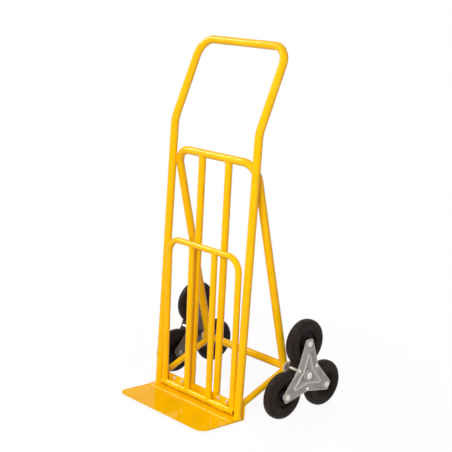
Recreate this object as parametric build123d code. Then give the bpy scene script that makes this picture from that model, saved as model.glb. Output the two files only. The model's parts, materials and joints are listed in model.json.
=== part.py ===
from build123d import *
import os
from math import cos, radians, sin, tan

os.makedirs("parts", exist_ok=True)

# Stair-climbing sack truck, millimetres. X is across, the toe plate points to -Y,
# Z is up, and the origin lies on the floor under the middle of the whole truck.

# driving dimensions of the tube frame
upright_spacing = 410.0
frame_lean = 2.8
frame_tube = 28.0
tube_wall = 2.0
kink_height = 963.0
kink_angle = 20.6
kink_radius = 120.0
handle_length = 294.0
handle_corner = 60.0
hoop_inset = 11.0
hoop_height = 862.0
hoop_setback = 11.0
hoop_corner = 60.0
slat_spacing = 130.0
slat_tube = 25.0
slat_foot = 12.0
brace_tube = 22.0
brace_inset = 8.0
brace_rise = 21.4
brace_drop = 12.4

# toe plate
plate_depth = 194.0
plate_thick = 4.0
plate_bend = 6.0
plate_corner = 32.0
upstand_height = 50.0
upstand_corner = 5.0

# fold-down toe frame and its hinge
fold_tube = 22.0
fold_inset = 30.0
fold_length = 530.0
fold_corner = 52.0
fold_bar_spacing = 113.0
fold_lean = 2.0
hinge_height = 20.5
hinge_overhang = 12.0
strap_thick = 2.0
strap_width = 60.0
strap_top_gap = 1.0
strap_bolt_pitch = 42.0
strap_bolt_height = 40.5
strap_bolt = 6.0
strap_bolt_flats = 10.0
strap_bolt_head = 4.0
strap_nut_high = 5.0

# wheels and stars
wheel_radius = 81.0
tyre_width = 38.0
tread_round = 13.0
groove_width = 2.0
groove_depth = 1.2
side_step = 1.2
ring_radius = 58.0
bead_flare = 3.0
rim_radius = 47.0
rim_width = 32.0
rim_thick = 6.0
web_thick = 12.0
hub_radius = 18.0
hub_width = 40.0
bush_radius = 8.0
wheel_bolt = 12.0
wheel_bolt_flats = 19.0
wheel_bolt_head = 4.5
wheel_nut_high = 9.0
star_radius = 112.0
star_outset = 68.5
axle_back = 208.0
arm_end = 17.0
arm_tip = 15.0
arm_corner = 8.0
arm_waist = 57.0
waist_round = 16.0
spider_thick = 4.0
emboss_reach = 77.0
emboss_tip = 7.5
emboss_waist = 32.0
emboss_high = 3.6
end_boss = 14.0
end_boss_high = 0.8
spider_hub = 21.0
spider_hub_high = 6.0
sleeve_radius = 16.0
sleeve_proud = 5.0
tie_radius = 49.0
tie_body = 12.0
tie_neck = 6.0
tie_head = 13.0
tie_head_high = 3.0

# axle
axle_rod = 20.0
axle_shift = 7.0
beam_proud = 1.0
washer_radius = 20.0
washer_thick = 2.5
spacer_wall = 1.6
cap_radius = 13.0
cap_high = 5.0
cap_round = 3.5

# clearances
running = 0.05
hinge_running = 0.1
end_play = 0.3
seat = 0.02

# positions that follow from the sizes above
hoop_spacing = upright_spacing - 2 * hoop_inset
brace_spacing = upright_spacing - 2 * brace_inset
fold_spacing = upright_spacing - 2 * fold_inset
strap_centre = (fold_spacing + fold_bar_spacing) / 4
upright_u = -(plate_thick + frame_tube / 2)
hoop_u = upright_u + hoop_setback
hinge_u = -(plate_thick + strap_thick + hinge_running + fold_tube / 2)
axle_z = wheel_radius + star_radius / 2
beam_end = (hoop_spacing + frame_tube) / 2 + beam_proud
star_plane = beam_end + star_outset
lean = radians(frame_lean)
front_y = -plate_depth * cos(lean)
rear_y = axle_back + star_radius * cos(radians(30)) + wheel_radius
heel_y = -(front_y + rear_y) / 2
axle_y = heel_y + axle_back
heel_drop = plate_bend * (sin(lean) + cos(lean) - 1)
axle_u = axle_back * cos(lean) - (axle_z + heel_drop) * sin(lean)
axle_w = axle_back * sin(lean) + (axle_z + heel_drop) * cos(lean)

# frame pieces are drawn square to the toe plate, with the heel edge as origin,
# then the whole frame leans back about that edge until its bend meets the floor;
# the axle stands a little to the right in its beam, so the frame lies to the left
frame_place = Location((-axle_shift, heel_y, -heel_drop), (-frame_lean, 0, 0))
fold_place = frame_place * Location((0, hinge_u, hinge_height), (fold_lean, 0, 0))
star_place = Location((star_plane, axle_y, axle_z))


def ring_sweep(path, outer, wall):
    start = Plane(origin=path @ 0, z_dir=path % 0)
    section = Circle(outer / 2)
    if wall:
        section = section - Circle(outer / 2 - wall)
    return sweep(start * section, path=path)


def bent_tube(points, corners, outer, wall):
    path = FilletPolyline(*points, radius=corners)
    return ring_sweep(path, outer, wall)


def straight_tube(start, end, outer, wall):
    return ring_sweep(Line(start, end), outer, wall)


def across(radius, x_from, x_to, y=0.0, z=0.0):
    length = abs(x_to - x_from)
    middle = (x_from + x_to) / 2
    return Pos(middle, y, z) * Rot(0, 90, 0) * Cylinder(radius, length)


def along_y(radius, y_from, y_to, x=0.0, z=0.0):
    length = abs(y_to - y_from)
    middle = (y_from + y_to) / 2
    return Pos(x, middle, z) * Rot(90, 0, 0) * Cylinder(radius, length)


def hexagon(flats):
    return RegularPolygon(flats / 2, 6, major_radius=False)


def other_side(shape):
    return mirror(shape, about=Plane.YZ)


def save(node, shapes):
    solids = []
    for shape in shapes:
        solids.extend(shape.solids())
    piece = solids[0] if len(solids) == 1 else Compound(solids)
    export_step(piece, "parts/" + node + ".step")


def save_pair(node, shape):
    save(node + "_right", [shape])
    save(node + "_left", [other_side(shape)])


def save_placed_pair(node, place, shape):
    save(node + "_right", [place * shape])
    save(node + "_left", [place * other_side(shape)])


# toe plate: an angle-bent sheet with its upstand behind the uprights
inner_bend = plate_bend - plate_thick
profile = make_face(
    Polyline(
        (-plate_depth, 0),
        (0, 0),
        (0, upstand_height),
        (-plate_thick, upstand_height),
        (-plate_thick, plate_thick),
        (-plate_depth, plate_thick),
        close=True,
    )
)
heel_corner = profile.vertices().sort_by_distance((0, 0, 0))[0]
profile = fillet(heel_corner, plate_bend)
inside_corner = profile.vertices().sort_by_distance((-plate_thick, plate_thick, 0))[0]
profile = fillet(inside_corner, inner_bend)
plate_width = upright_spacing + frame_tube
side_plane = Plane(origin=(-plate_width / 2, 0, 0), x_dir=(0, 1, 0), z_dir=(1, 0, 0))
toe_plate = extrude(side_plane * profile, plate_width)
front_edges = toe_plate.edges().filter_by(Axis.Z).group_by(Axis.Y)[0]
toe_plate = fillet(front_edges, plate_corner)
top_edges = toe_plate.edges().filter_by(Axis.Y).group_by(Axis.Z)[-1]
toe_plate = fillet(top_edges, upstand_corner)

# main frame: one bent tube, both uprights and the handle loop
half_upright = upright_spacing / 2
handle_u = upright_u + handle_length * sin(radians(kink_angle))
handle_w = kink_height + handle_length * cos(radians(kink_angle))
main_points = [
    (-half_upright, upright_u, plate_thick),
    (-half_upright, upright_u, kink_height),
    (-half_upright, handle_u, handle_w),
    (half_upright, handle_u, handle_w),
    (half_upright, upright_u, kink_height),
    (half_upright, upright_u, plate_thick),
]
main_corners = (kink_radius, handle_corner, handle_corner, kink_radius)
main_tube = bent_tube(main_points, main_corners, frame_tube, tube_wall)
main_tube = (main_tube - toe_plate).solids().sort_by(SortBy.VOLUME)[-1]
upright_rod = straight_tube(main_points[5], main_points[4], frame_tube, 0)
upright_rods = upright_rod + other_side(upright_rod)

# axle beam across the lower ends of the rear hoop
beam = across(frame_tube / 2, -beam_end, beam_end, axle_u, axle_w)
beam_bore = across(axle_rod / 2 + seat, -beam_end, beam_end, axle_u, axle_w)
axle_beam = beam - beam_bore

# rear hoop: inverted U whose legs run back to the axle beam
half_hoop = hoop_spacing / 2
hoop_points = [
    (-half_hoop, axle_u, axle_w),
    (-half_hoop, hoop_u, hoop_height),
    (half_hoop, hoop_u, hoop_height),
    (half_hoop, axle_u, axle_w),
]
rear_hoop = bent_tube(hoop_points, (hoop_corner, hoop_corner), frame_tube, tube_wall)
rear_hoop = rear_hoop - beam - upright_rods

# inner slats between the hoop crossbar and the back of the upstand
half_slat = slat_spacing / 2
slat_mid = upstand_height / 2
slat_u = slat_tube / 2
slat_slope = (hoop_u - slat_u) / (hoop_height - slat_mid)
slat_low = (half_slat, slat_u - slat_slope * (slat_mid - slat_foot), slat_foot)
slat_high = (half_slat, hoop_u, hoop_height)
crossbar = across(frame_tube / 2, -half_hoop, half_hoop, hoop_u, hoop_height)
upstand_block = Pos(0, -plate_depth / 2, 0) * Box(plate_width, plate_depth, 4 * upstand_height)
inner_slat = straight_tube(slat_low, slat_high, slat_tube, tube_wall) - crossbar
inner_slat = inner_slat - toe_plate

# lower braces from the axle beam down to the back of the upstand
half_brace = brace_spacing / 2
rise = radians(brace_rise + frame_lean)
drop_u = brace_drop * sin(lean)
drop_w = -brace_drop * cos(lean)
brace_back = (half_brace, axle_u + drop_u, axle_w + drop_w)
brace_run = axle_u + drop_u + brace_tube
brace_front = (half_brace, brace_back[1] - brace_run, brace_back[2] - brace_run * tan(rise))
lower_brace = straight_tube(brace_front, brace_back, brace_tube, tube_wall)
lower_brace = lower_brace - beam - upstand_block - rear_hoop
lower_brace = lower_brace.solids().sort_by(SortBy.VOLUME)[-1]

# hinge straps round the fold tube, bolted to the upstand
strap_x = strap_centre - strap_width / 2
knuckle_radius = fold_tube / 2 + hinge_running + strap_thick
knuckle = across(knuckle_radius, strap_x, strap_x + strap_width, hinge_u, hinge_height)
lug_top = upstand_height - strap_top_gap
lug_high = lug_top - hinge_height
lug_middle = -(plate_thick + strap_thick / 2)
lug = Pos(strap_centre, lug_middle, hinge_height + lug_high / 2) * Box(strap_width, strap_thick, lug_high)
knuckle_bore = across(fold_tube / 2 + hinge_running, strap_x, strap_x + strap_width, hinge_u, hinge_height)
hinge_strap = knuckle + lug - knuckle_bore
bolt_spots = [strap_centre - strap_bolt_pitch / 2, strap_centre + strap_bolt_pitch / 2]
bolt_front = -(plate_thick + strap_thick)
hinge_bolts = []
hinge_nuts = []
for spot in bolt_spots:
    bolt_hole = along_y(strap_bolt / 2 + running, bolt_front, 0, spot, strap_bolt_height)
    hinge_strap = hinge_strap - bolt_hole
    toe_plate = toe_plate - bolt_hole - other_side(bolt_hole)
    shank = along_y(strap_bolt / 2, bolt_front, strap_nut_high, spot, strap_bolt_height)
    head_plane = Plane(origin=(spot, bolt_front, strap_bolt_height), z_dir=(0, -1, 0))
    head = extrude(head_plane * hexagon(strap_bolt_flats), strap_bolt_head)
    nut_plane = Plane(origin=(spot, 0, strap_bolt_height), z_dir=(0, 1, 0))
    nut = extrude(nut_plane * hexagon(strap_bolt_flats), strap_nut_high)
    nut_bore = along_y(strap_bolt / 2 + running, 0, strap_nut_high, spot, strap_bolt_height)
    hinge_bolts.append(shank + head)
    hinge_nuts.append(nut - nut_bore)

# fold-down toe frame, drawn upright with the hinge line as origin
half_fold = fold_spacing / 2
hinge_end = half_fold + hinge_overhang
hinge_solid = across(fold_tube / 2, -hinge_end, hinge_end)
fold_hinge = hinge_solid - across(fold_tube / 2 - tube_wall, -hinge_end, hinge_end)
fold_points = [
    (-half_fold, 0, 0),
    (-half_fold, 0, fold_length),
    (half_fold, 0, fold_length),
    (half_fold, 0, 0),
]
fold_hoop = bent_tube(fold_points, (fold_corner, fold_corner), fold_tube, tube_wall)
fold_hoop = (fold_hoop - hinge_solid).solids().sort_by(SortBy.VOLUME)[-1]
fold_crossbar = across(fold_tube / 2, -half_fold, half_fold, 0, fold_length)
half_bar = fold_bar_spacing / 2
fold_bar = straight_tube((half_bar, 0, 0), (half_bar, 0, fold_length), fold_tube, tube_wall)
fold_bar = (fold_bar - hinge_solid - fold_crossbar).solids().sort_by(SortBy.VOLUME)[-1]

# star unit, drawn about the axle with X = 0 in the plane of its wheels
arm_angles = (90, 210, 330)


def star_point(reach, angle, aside=0.0):
    turn = radians(angle)
    y = reach * cos(turn) - aside * sin(turn)
    z = reach * sin(turn) + aside * cos(turn)
    return (y, z)


def star_outline(reach, tip, waist):
    points = []
    for angle in arm_angles:
        points.append(star_point(reach, angle, -tip))
        points.append(star_point(reach, angle, tip))
        points.append(star_point(waist, angle + 60))
    return make_face(Polyline(*points, close=True))


def spider_plate():
    arm_reach = star_radius + arm_end
    outline = star_outline(arm_reach, arm_tip, arm_waist)
    waist_corners = []
    tip_corners = []
    for corner in outline.vertices():
        at_tip = (corner.X**2 + corner.Y**2) ** 0.5 > star_radius
        if at_tip:
            tip_corners.append(corner)
        else:
            waist_corners.append(corner)
    outline = fillet(waist_corners, waist_round)
    tip_spots = [(corner.X, corner.Y, 0) for corner in tip_corners]
    tip_corners = [outline.vertices().sort_by_distance(spot)[0] for spot in tip_spots]
    outline = fillet(tip_corners, arm_corner)
    emboss = star_outline(emboss_reach, emboss_tip, emboss_waist)
    inner_face = hub_width / 2 + end_play
    outer_face = inner_face + spider_thick
    plate = extrude(Plane.YZ.offset(inner_face) * outline, spider_thick)
    plate = plate + extrude(Plane.YZ.offset(outer_face) * emboss, emboss_high)
    plate = plate + across(spider_hub, outer_face, outer_face + spider_hub_high)
    bore_end = outer_face + spider_hub_high
    plate = plate - across(sleeve_radius + seat, inner_face, bore_end)
    for angle in arm_angles:
        y, z = star_point(star_radius, angle)
        plate = plate + across(end_boss, outer_face, outer_face + end_boss_high, y, z)
        plate = plate - across(wheel_bolt / 2 + running, inner_face, bore_end, y, z)
        y, z = star_point(tie_radius, angle + 60)
        plate = plate - across(tie_neck / 2 + running, inner_face, bore_end, y, z)
    return plate


outer_spider = spider_plate()
inner_spider = other_side(outer_spider)
spider_inside = hub_width / 2 + end_play
spider_outside = spider_inside + spider_thick
sleeve_end = spider_outside + sleeve_proud
hub_sleeve = across(sleeve_radius, -sleeve_end, sleeve_end)
hub_sleeve = hub_sleeve - across(axle_rod / 2 + running, -sleeve_end, sleeve_end)

bolt_seat = spider_outside + end_boss_high
wheel_bolts = []
wheel_nuts = []
tie_rods = []
for angle in arm_angles:
    y, z = star_point(star_radius, angle)
    shank = across(wheel_bolt / 2, -bolt_seat - wheel_nut_high, bolt_seat, y, z)
    head_face = Plane(origin=(bolt_seat, y, z), z_dir=(1, 0, 0)) * hexagon(wheel_bolt_flats)
    wheel_bolts.append(shank + extrude(head_face, wheel_bolt_head))
    nut_face = Plane(origin=(-bolt_seat, y, z), z_dir=(-1, 0, 0)) * hexagon(wheel_bolt_flats)
    nut = extrude(nut_face, wheel_nut_high)
    wheel_nuts.append(nut - across(wheel_bolt / 2 + running, -bolt_seat - wheel_nut_high, -bolt_seat, y, z))
    y, z = star_point(tie_radius, angle + 60)
    tie = across(tie_body / 2, -spider_inside, spider_inside, y, z)
    tie = tie + across(tie_neck / 2, -spider_outside, spider_outside, y, z)
    tie = tie + across(tie_head / 2, spider_outside, spider_outside + tie_head_high, y, z)
    tie = tie + across(tie_head / 2, -spider_outside - tie_head_high, -spider_outside, y, z)
    tie_rods.append(tie)

# one wheel about its own axle: tyre, wheel centre and bush
half_tyre = tyre_width / 2
half_rim = rim_width / 2
half_web = web_thick / 2
half_hub = hub_width / 2
side_ring = half_tyre - side_step
half_groove = groove_width / 2
side_half = [
    (half_rim, rim_radius + seat),
    (side_ring, rim_radius + bead_flare),
    (side_ring, ring_radius),
    (half_tyre, ring_radius + side_step),
    (half_tyre, wheel_radius),
    (half_groove, wheel_radius),
    (half_groove, wheel_radius - groove_depth),
]
tyre_points = list(side_half)
for point in reversed(side_half):
    tyre_points.append((-point[0], point[1]))
tyre_section = make_face(Polyline(*tyre_points, close=True))
for edge_x in (half_tyre, -half_tyre):
    shoulder = tyre_section.vertices().sort_by_distance((edge_x, wheel_radius, 0))[0]
    tyre_section = fillet(shoulder, tread_round)
turn_plane = Plane(origin=(0, 0, 0), x_dir=(1, 0, 0), z_dir=(0, -1, 0))
tyre = revolve(turn_plane * tyre_section, axis=Axis.X)
rim_inside = rim_radius - rim_thick
centre_half = [
    (half_hub, bush_radius + seat),
    (half_hub, hub_radius),
    (half_web, hub_radius + half_web),
    (half_web, rim_inside - half_web),
    (half_rim, rim_inside),
    (half_rim, rim_radius),
]
centre_points = list(centre_half)
for point in reversed(centre_half):
    centre_points.append((-point[0], point[1]))
wheel_centre = revolve(turn_plane * make_face(Polyline(*centre_points, close=True)), axis=Axis.X)
wheel_bush = across(bush_radius, -half_hub, half_hub)
wheel_bush = wheel_bush - across(wheel_bolt / 2 + running, -half_hub, half_hub)

# axle pieces in floor axes
outer_end = star_plane + sleeve_end + end_play
rod_end = outer_end + cap_high / 4
axle = across(axle_rod / 2, -rod_end, rod_end, axle_y, axle_z)
cap = across(cap_radius, outer_end, outer_end + cap_high, axle_y, axle_z)
cap = fillet(cap.edges().filter_by(GeomType.CIRCLE).sort_by(Axis.X)[-1], cap_round)
cap = cap - across(axle_rod / 2 + seat, outer_end, rod_end, axle_y, axle_z)
washer_bore = axle_rod / 2 + seat
washer_end = beam_end + washer_thick
washer = across(washer_radius, beam_end, washer_end, axle_u, axle_w)
washer = washer - across(washer_bore, beam_end, washer_end, axle_u, axle_w)
spacer_end = star_plane - sleeve_end - end_play


def spacer_tube(start, end):
    tube = across(washer_bore + spacer_wall, start, end, axle_y, axle_z)
    return tube - across(washer_bore, start, end, axle_y, axle_z)



# frame nodes
save("main_frame_tube", [frame_place * main_tube])
save("rear_hoop", [frame_place * rear_hoop])
save_placed_pair("inner_slat", frame_place, inner_slat)
save("toe_plate", [frame_place * toe_plate])
save("axle_beam", [frame_place * axle_beam])
save_placed_pair("lower_brace", frame_place, lower_brace)
save_placed_pair("hinge_strap", frame_place, hinge_strap)
save("hinge_bolts", [frame_place * bolt for bolt in hinge_bolts + [other_side(b) for b in hinge_bolts]])
save("hinge_nuts", [frame_place * nut for nut in hinge_nuts + [other_side(n) for n in hinge_nuts]])
save("axle_rod", [axle])
save_placed_pair("axle_washer", frame_place, washer)
save("axle_spacer_right", [spacer_tube(washer_end - axle_shift, spacer_end)])
save("axle_spacer_left", [spacer_tube(-spacer_end, -washer_end - axle_shift)])
save_pair("axle_cap", cap)

# toe frame nodes
save("fold_hoop", [fold_place * fold_hoop])
save_placed_pair("fold_bar", fold_place, fold_bar)
save("fold_hinge_tube", [fold_place * fold_hinge])

# star nodes
for name, piece in (("outer_spider", outer_spider), ("inner_spider", inner_spider), ("hub_sleeve", hub_sleeve)):
    save_pair(name, star_place * piece)
for name, pieces in (("wheel_bolts", wheel_bolts), ("wheel_nuts", wheel_nuts), ("tie_rods", tie_rods)):
    placed = [star_place * piece for piece in pieces]
    save(name + "_right", placed)
    save(name + "_left", [other_side(piece) for piece in placed])

# wheel nodes
for spot, angle in (("top", 90), ("front", 210), ("rear", 330)):
    y, z = star_point(star_radius, angle)
    wheel_place = star_place * Location((0, y, z))
    for name, piece in (("tyre", tyre), ("wheel_centre", wheel_centre), ("wheel_bush", wheel_bush)):
        save_pair(name + "_" + spot, wheel_place * piece)
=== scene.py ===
import json
from math import atan2, cos, pi, radians, sin, sqrt, tan

import bmesh
import bpy
from mathutils import Matrix, Vector


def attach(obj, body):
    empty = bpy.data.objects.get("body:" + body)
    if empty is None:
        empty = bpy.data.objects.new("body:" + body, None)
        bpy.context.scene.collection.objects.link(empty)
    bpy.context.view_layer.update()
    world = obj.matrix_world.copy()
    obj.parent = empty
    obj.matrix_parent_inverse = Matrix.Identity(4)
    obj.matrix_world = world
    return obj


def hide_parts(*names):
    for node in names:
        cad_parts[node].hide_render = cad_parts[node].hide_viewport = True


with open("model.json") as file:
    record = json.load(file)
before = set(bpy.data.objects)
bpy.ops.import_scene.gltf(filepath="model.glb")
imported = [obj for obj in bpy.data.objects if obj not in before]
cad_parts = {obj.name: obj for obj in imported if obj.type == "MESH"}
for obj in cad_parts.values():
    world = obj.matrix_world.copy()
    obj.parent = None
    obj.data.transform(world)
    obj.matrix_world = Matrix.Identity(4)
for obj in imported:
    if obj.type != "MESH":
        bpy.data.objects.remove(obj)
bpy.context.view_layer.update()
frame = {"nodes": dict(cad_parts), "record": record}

mm = 0.001
scene = bpy.context.scene
bothSides = (("right", 1), ("left", -1))
acrossX = Vector((1, 0, 0))

# sizes that several pieces share, in millimetres and degrees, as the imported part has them
truck = {
    "lean": 2.8,
    "aside": -7.0,  # the frame stands this far off the middle between the stars
    "frameTube": 28.0,
    "uprightSpacing": 410.0,
    "plateDepth": 194.0,
    "plateThick": 4.0,
    "plateBend": 6.0,
    "axleBack": 208.0,
    "wheelRadius": 81.0,
    "starRadius": 112.0,
    "starPlane": 277.5,
    "hingeHeight": 20.5,
    "strapThick": 2.0,
    "strapGap": 0.1,
    "foldTube": 22.0,
    "foldLean": 2.0,
}

leanTurn = radians(truck["lean"])
plateThick = truck["plateThick"]
starRadius = truck["starRadius"]
frameRadius = truck["frameTube"] / 2
foldRadius = truck["foldTube"] / 2
uprightX = truck["uprightSpacing"] / 2
axleZ = truck["wheelRadius"] + starRadius / 2
heelY = -(truck["axleBack"] + starRadius * cos(radians(30)) + truck["wheelRadius"]
          - truck["plateDepth"] * cos(leanTurn)) / 2
heelDrop = truck["plateBend"] * (sin(leanTurn) + cos(leanTurn) - 1)
axleY = heelY + truck["axleBack"]
axleU = truck["axleBack"] * cos(leanTurn) - (axleZ + heelDrop) * sin(leanTurn)
axleW = truck["axleBack"] * sin(leanTurn) + (axleZ + heelDrop) * cos(leanTurn)
uprightU = -(plateThick + frameRadius)
hingeU = -(plateThick + truck["strapThick"] + truck["strapGap"] + foldRadius)
hingeW = truck["hingeHeight"]


def leanPoint(x, u, w):  # u back and w up along the leaning frame, from its heel
    y = heelY + u * cos(leanTurn) + w * sin(leanTurn)
    z = -heelDrop - u * sin(leanTurn) + w * cos(leanTurn)
    return Vector((x + truck["aside"], y, z)) * mm


def foldPoint(x, out, up):  # toe frame, from its hinge line
    turn = radians(truck["foldLean"])
    u = hingeU + out * cos(turn) - up * sin(turn)
    w = hingeW + out * sin(turn) + up * cos(turn)
    return leanPoint(x, u, w)


def loopCorners(pointOf, half, spots):  # up one side of a hoop and down the other
    return [pointOf(-half, *spot) for spot in spots] + [pointOf(half, *spot) for spot in reversed(spots)]


# mesh helpers
edgeLook = {"sharp": 38, "bevelFrom": 35, "bevelSteps": 3}
tubeMesh = {"run": 0.05, "bendSteps": 18, "around": 40, "thickAround": 48}  # run in metres
hexMesh = {"around": 48, "round": 0.94}


def makePiece(name, bm, finish, body, nodes=(), bevel=0, sharp=edgeLook["sharp"]):
    bmesh.ops.recalc_face_normals(bm, faces=bm.faces)
    for edge in bm.edges:
        if len(edge.link_faces) == 2 and edge.calc_face_angle() > radians(sharp):
            edge.smooth = False
    for face in bm.faces:
        face.smooth = True
    mesh = bpy.data.meshes.new(name)
    bm.to_mesh(mesh)
    bm.free()
    piece = bpy.data.objects.new(name, mesh)
    scene.collection.objects.link(piece)
    mesh.materials.append(finish)
    if bevel:
        rounding = piece.modifiers.new("edges", "BEVEL")
        rounding.width = bevel * mm
        rounding.segments = edgeLook["bevelSteps"]
        rounding.limit_method = "ANGLE"
        rounding.angle_limit = radians(edgeLook["bevelFrom"])
        rounding.harden_normals = True
    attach(piece, body)
    if nodes:
        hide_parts(*nodes)


def joinRings(bm, rings, closed=False, lids=True):  # a ring of one point closes to a tip
    pairs = list(zip(rings, rings[1:]))
    if closed:
        pairs.append((rings[-1], rings[0]))
    for near, far in pairs:
        count = max(len(near), len(far))
        for step in range(count):
            after = (step + 1) % count
            corners = [near[step % len(near)], near[after % len(near)]]
            corners += [far[after % len(far)], far[step % len(far)]]
            bm.faces.new(list(dict.fromkeys(corners)))
    if lids and not closed:
        bm.faces.new(rings[0])
        bm.faces.new(rings[-1])


def addRing(bm, places, dustWearHighlightShare=None):  # dust, wear and painted highlight go to the finish, where they show the paler colour
    layers = bm.verts.layers.float
    dustWearHighlight = None if dustWearHighlightShare is None else layers.get("dustWearHighlight") or layers.new("dustWearHighlight")
    ring = [bm.verts.new(place) for place in places]
    if dustWearHighlight:
        for vert in ring:
            vert[dustWearHighlight] = dustWearHighlightShare
    return ring


def ringAround(point, axis, side, radius, count):
    other = axis.cross(side)
    ring = []
    for step in range(count):
        turn = 2 * pi * step / count
        ring.append(point + (side * cos(turn) + other * sin(turn)) * radius * mm)
    return ring


def fillRun(path, target):
    start = path[-1]
    count = max(1, int((target - start).length / tubeMesh["run"]))
    for step in range(1, count + 1):
        path.append(start.lerp(target, step / count))
    return path


def cornerArc(before, corner, after, radius, steps):
    into = (corner - before).normalized()
    out = (after - corner).normalized()
    turn = into.angle(out)
    axis = into.cross(out).normalized()
    start = corner - into * radius * tan(turn / 2)
    centre = start + (out - into * out.dot(into)).normalized() * radius
    swings = [Matrix.Rotation(turn * step / steps, 3, axis) for step in range(steps + 1)]
    return [centre + swing @ (start - centre) for swing in swings]


def bendPath(corners, radii, arcSteps=tubeMesh["bendSteps"]):
    path = [corners[0]]
    for spot, radius in enumerate(radii):
        arc = cornerArc(*corners[spot:spot + 3], radius * mm, arcSteps)
        fillRun(path, arc[0])
        path += arc[1:]
    return fillRun(path, corners[-1])


def roundPolygon(corners, radii, steps):
    line = []
    for spot, radius in enumerate(radii):
        after = corners[(spot + 1) % len(corners)]
        line += cornerArc(corners[spot - 1], corners[spot], after, radius, steps)
    return line


def landOn(point, along, host):  # slide a point along a tube to the host tube's skin
    centre, axis, radius = host
    offset = point - centre
    flatOffset = offset - axis * offset.dot(axis)
    flatAlong = along - axis * along.dot(axis)
    a = flatAlong.dot(flatAlong)
    b = flatOffset.dot(flatAlong)
    c = flatOffset.dot(flatOffset) - radius * radius
    under = max(b * b - a * c, 0)
    return point + along * ((-b + sqrt(under)) / a)


def addTube(bm, path, radius, count=tubeMesh["around"], startOn=None, endOn=None):
    last = len(path) - 1
    side = (path[1] - path[0]).normalized().orthogonal().normalized()
    rings = []
    for spot, point in enumerate(path):
        along = (path[min(spot + 1, last)] - path[max(spot - 1, 0)]).normalized()
        side = (side - along * side.dot(along)).normalized()
        ring = ringAround(point, along, side, radius, count)
        if spot == 0 and startOn:
            ring = [landOn(place, along, startOn) for place in ring]
        if spot == last and endOn:
            ring = [landOn(place, -along, endOn) for place in ring]
        rings.append(addRing(bm, ring))
    joinRings(bm, rings)


def tubeRing(point, along, radius, host, count=64):  # line where a tube meets its host
    side = along.orthogonal().normalized()
    return [landOn(place, along, host) for place in ringAround(point, along, side, radius, count)]


weldLook = {"size": 2.6, "ripple": 0.16, "pitch": 4.6, "around": 8, "endSize": 0.35, "endGrow": 0.25}


def addWeld(bm, line, closed=True, size=weldLook["size"], away=None):
    pitch = weldLook["pitch"] * mm
    middle = sum(line, Vector()) / len(line)
    dense = []
    for spot, point in enumerate(line if closed else line[:-1]):
        target = line[(spot + 1) % len(line)]
        count = max(1, int((target - point).length / (pitch / 4)))
        dense += [point.lerp(target, step / count) for step in range(count)]
    if not closed:
        dense.append(line[-1])
    run = 0
    rings = []
    last = len(dense) - 1
    for spot, point in enumerate(dense):
        ahead = dense[(spot + 1) % len(dense) if closed else min(spot + 1, last)]
        behind = dense[spot - 1 if closed else max(spot - 1, 0)]
        along = (ahead - behind).normalized()
        outward = away if away else point - middle
        side = (outward - along * outward.dot(along)).normalized()
        wave = 1 + weldLook["ripple"] * abs(sin(pi * run / pitch))
        if not closed:  # an open bead thins out at its ends
            wave *= min(1, weldLook["endSize"] + weldLook["endGrow"] * min(spot, last - spot))
        rings.append(addRing(bm, ringAround(point, along, side, size * wave, weldLook["around"])))
        run += (ahead - point).length
    joinRings(bm, rings, closed)


def addLathe(bm, profile, centre, sideways, count, closed=True):  # (x, radius, dust, wear and painted highlight) turned about X
    rings = []
    for x, radius, *dustWearHighlightShare in profile:
        middle = centre + Vector((x * sideways, 0, 0)) * mm
        ring = ringAround(middle, acrossX, Vector((0, 1, 0)), radius, count) if radius else [middle]
        rings.append(addRing(bm, ring, *dustWearHighlightShare))
    joinRings(bm, rings, closed, False)


def bothEnds(half):  # a profile drawn for one end, with its mirror image before it
    return [(-x, *rest) for x, *rest in reversed(half)] + half


def addStack(bm, base, axis, levels, radiusOf, count):  # closed rings stacked along any axis
    side = axis.orthogonal().normalized()
    other = axis.cross(side)
    rings = []
    for level, share in levels:
        ring = []
        for step in range(count):
            turn = 2 * pi * step / count
            spoke = (side * cos(turn) + other * sin(turn)) * radiusOf(turn, share)
            ring.append(base + (spoke + axis * level) * mm)
        rings.append(addRing(bm, ring))
    joinRings(bm, rings)


def addHex(bm, base, axis, flats, high, chamfer):  # bolt head or nut with its turned chamfer
    def hexRadius(turn, share):
        corner = (turn + pi / 6) % (pi / 3) - pi / 6
        full = flats / 2 / cos(corner)
        return full * share + min(full, flats / 2 * hexMesh["round"]) * (1 - share)

    levels = [(0, 1), (high - chamfer * 1.4, 1), (high - chamfer * 0.5, 0.5), (high, 0)]
    addStack(bm, base, axis, levels, hexRadius, hexMesh["around"])


def addTurned(bm, base, axis, profile, count=40):  # (level, radius) pairs turned about any axis
    addStack(bm, base, axis, profile, lambda turn, radius: radius, count)


def addBolt(bolts, nuts, look, headSeat, nutSeat, outward):  # with its washer, and its tip past the nut
    washer = look["washer"]
    high = look["washerThick"]
    addTurned(bolts, headSeat, outward, [(0, washer), (high - 0.3, washer), (high, washer - 0.5)])
    headSeat = headSeat + outward * (high - 0.2) * mm
    addHex(bolts, headSeat, outward, look["headFlats"], look["head"], look["headChamfer"])
    addHex(nuts, nutSeat, -outward, look["flats"], look["nut"], look["nutChamfer"])
    shank = look["shank"]
    end = look["shankOut"]
    long, deep = look["shankTip"]
    addTurned(nuts, nutSeat, -outward, [(0, shank), (end - long, shank), (end, shank - deep)])


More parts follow.
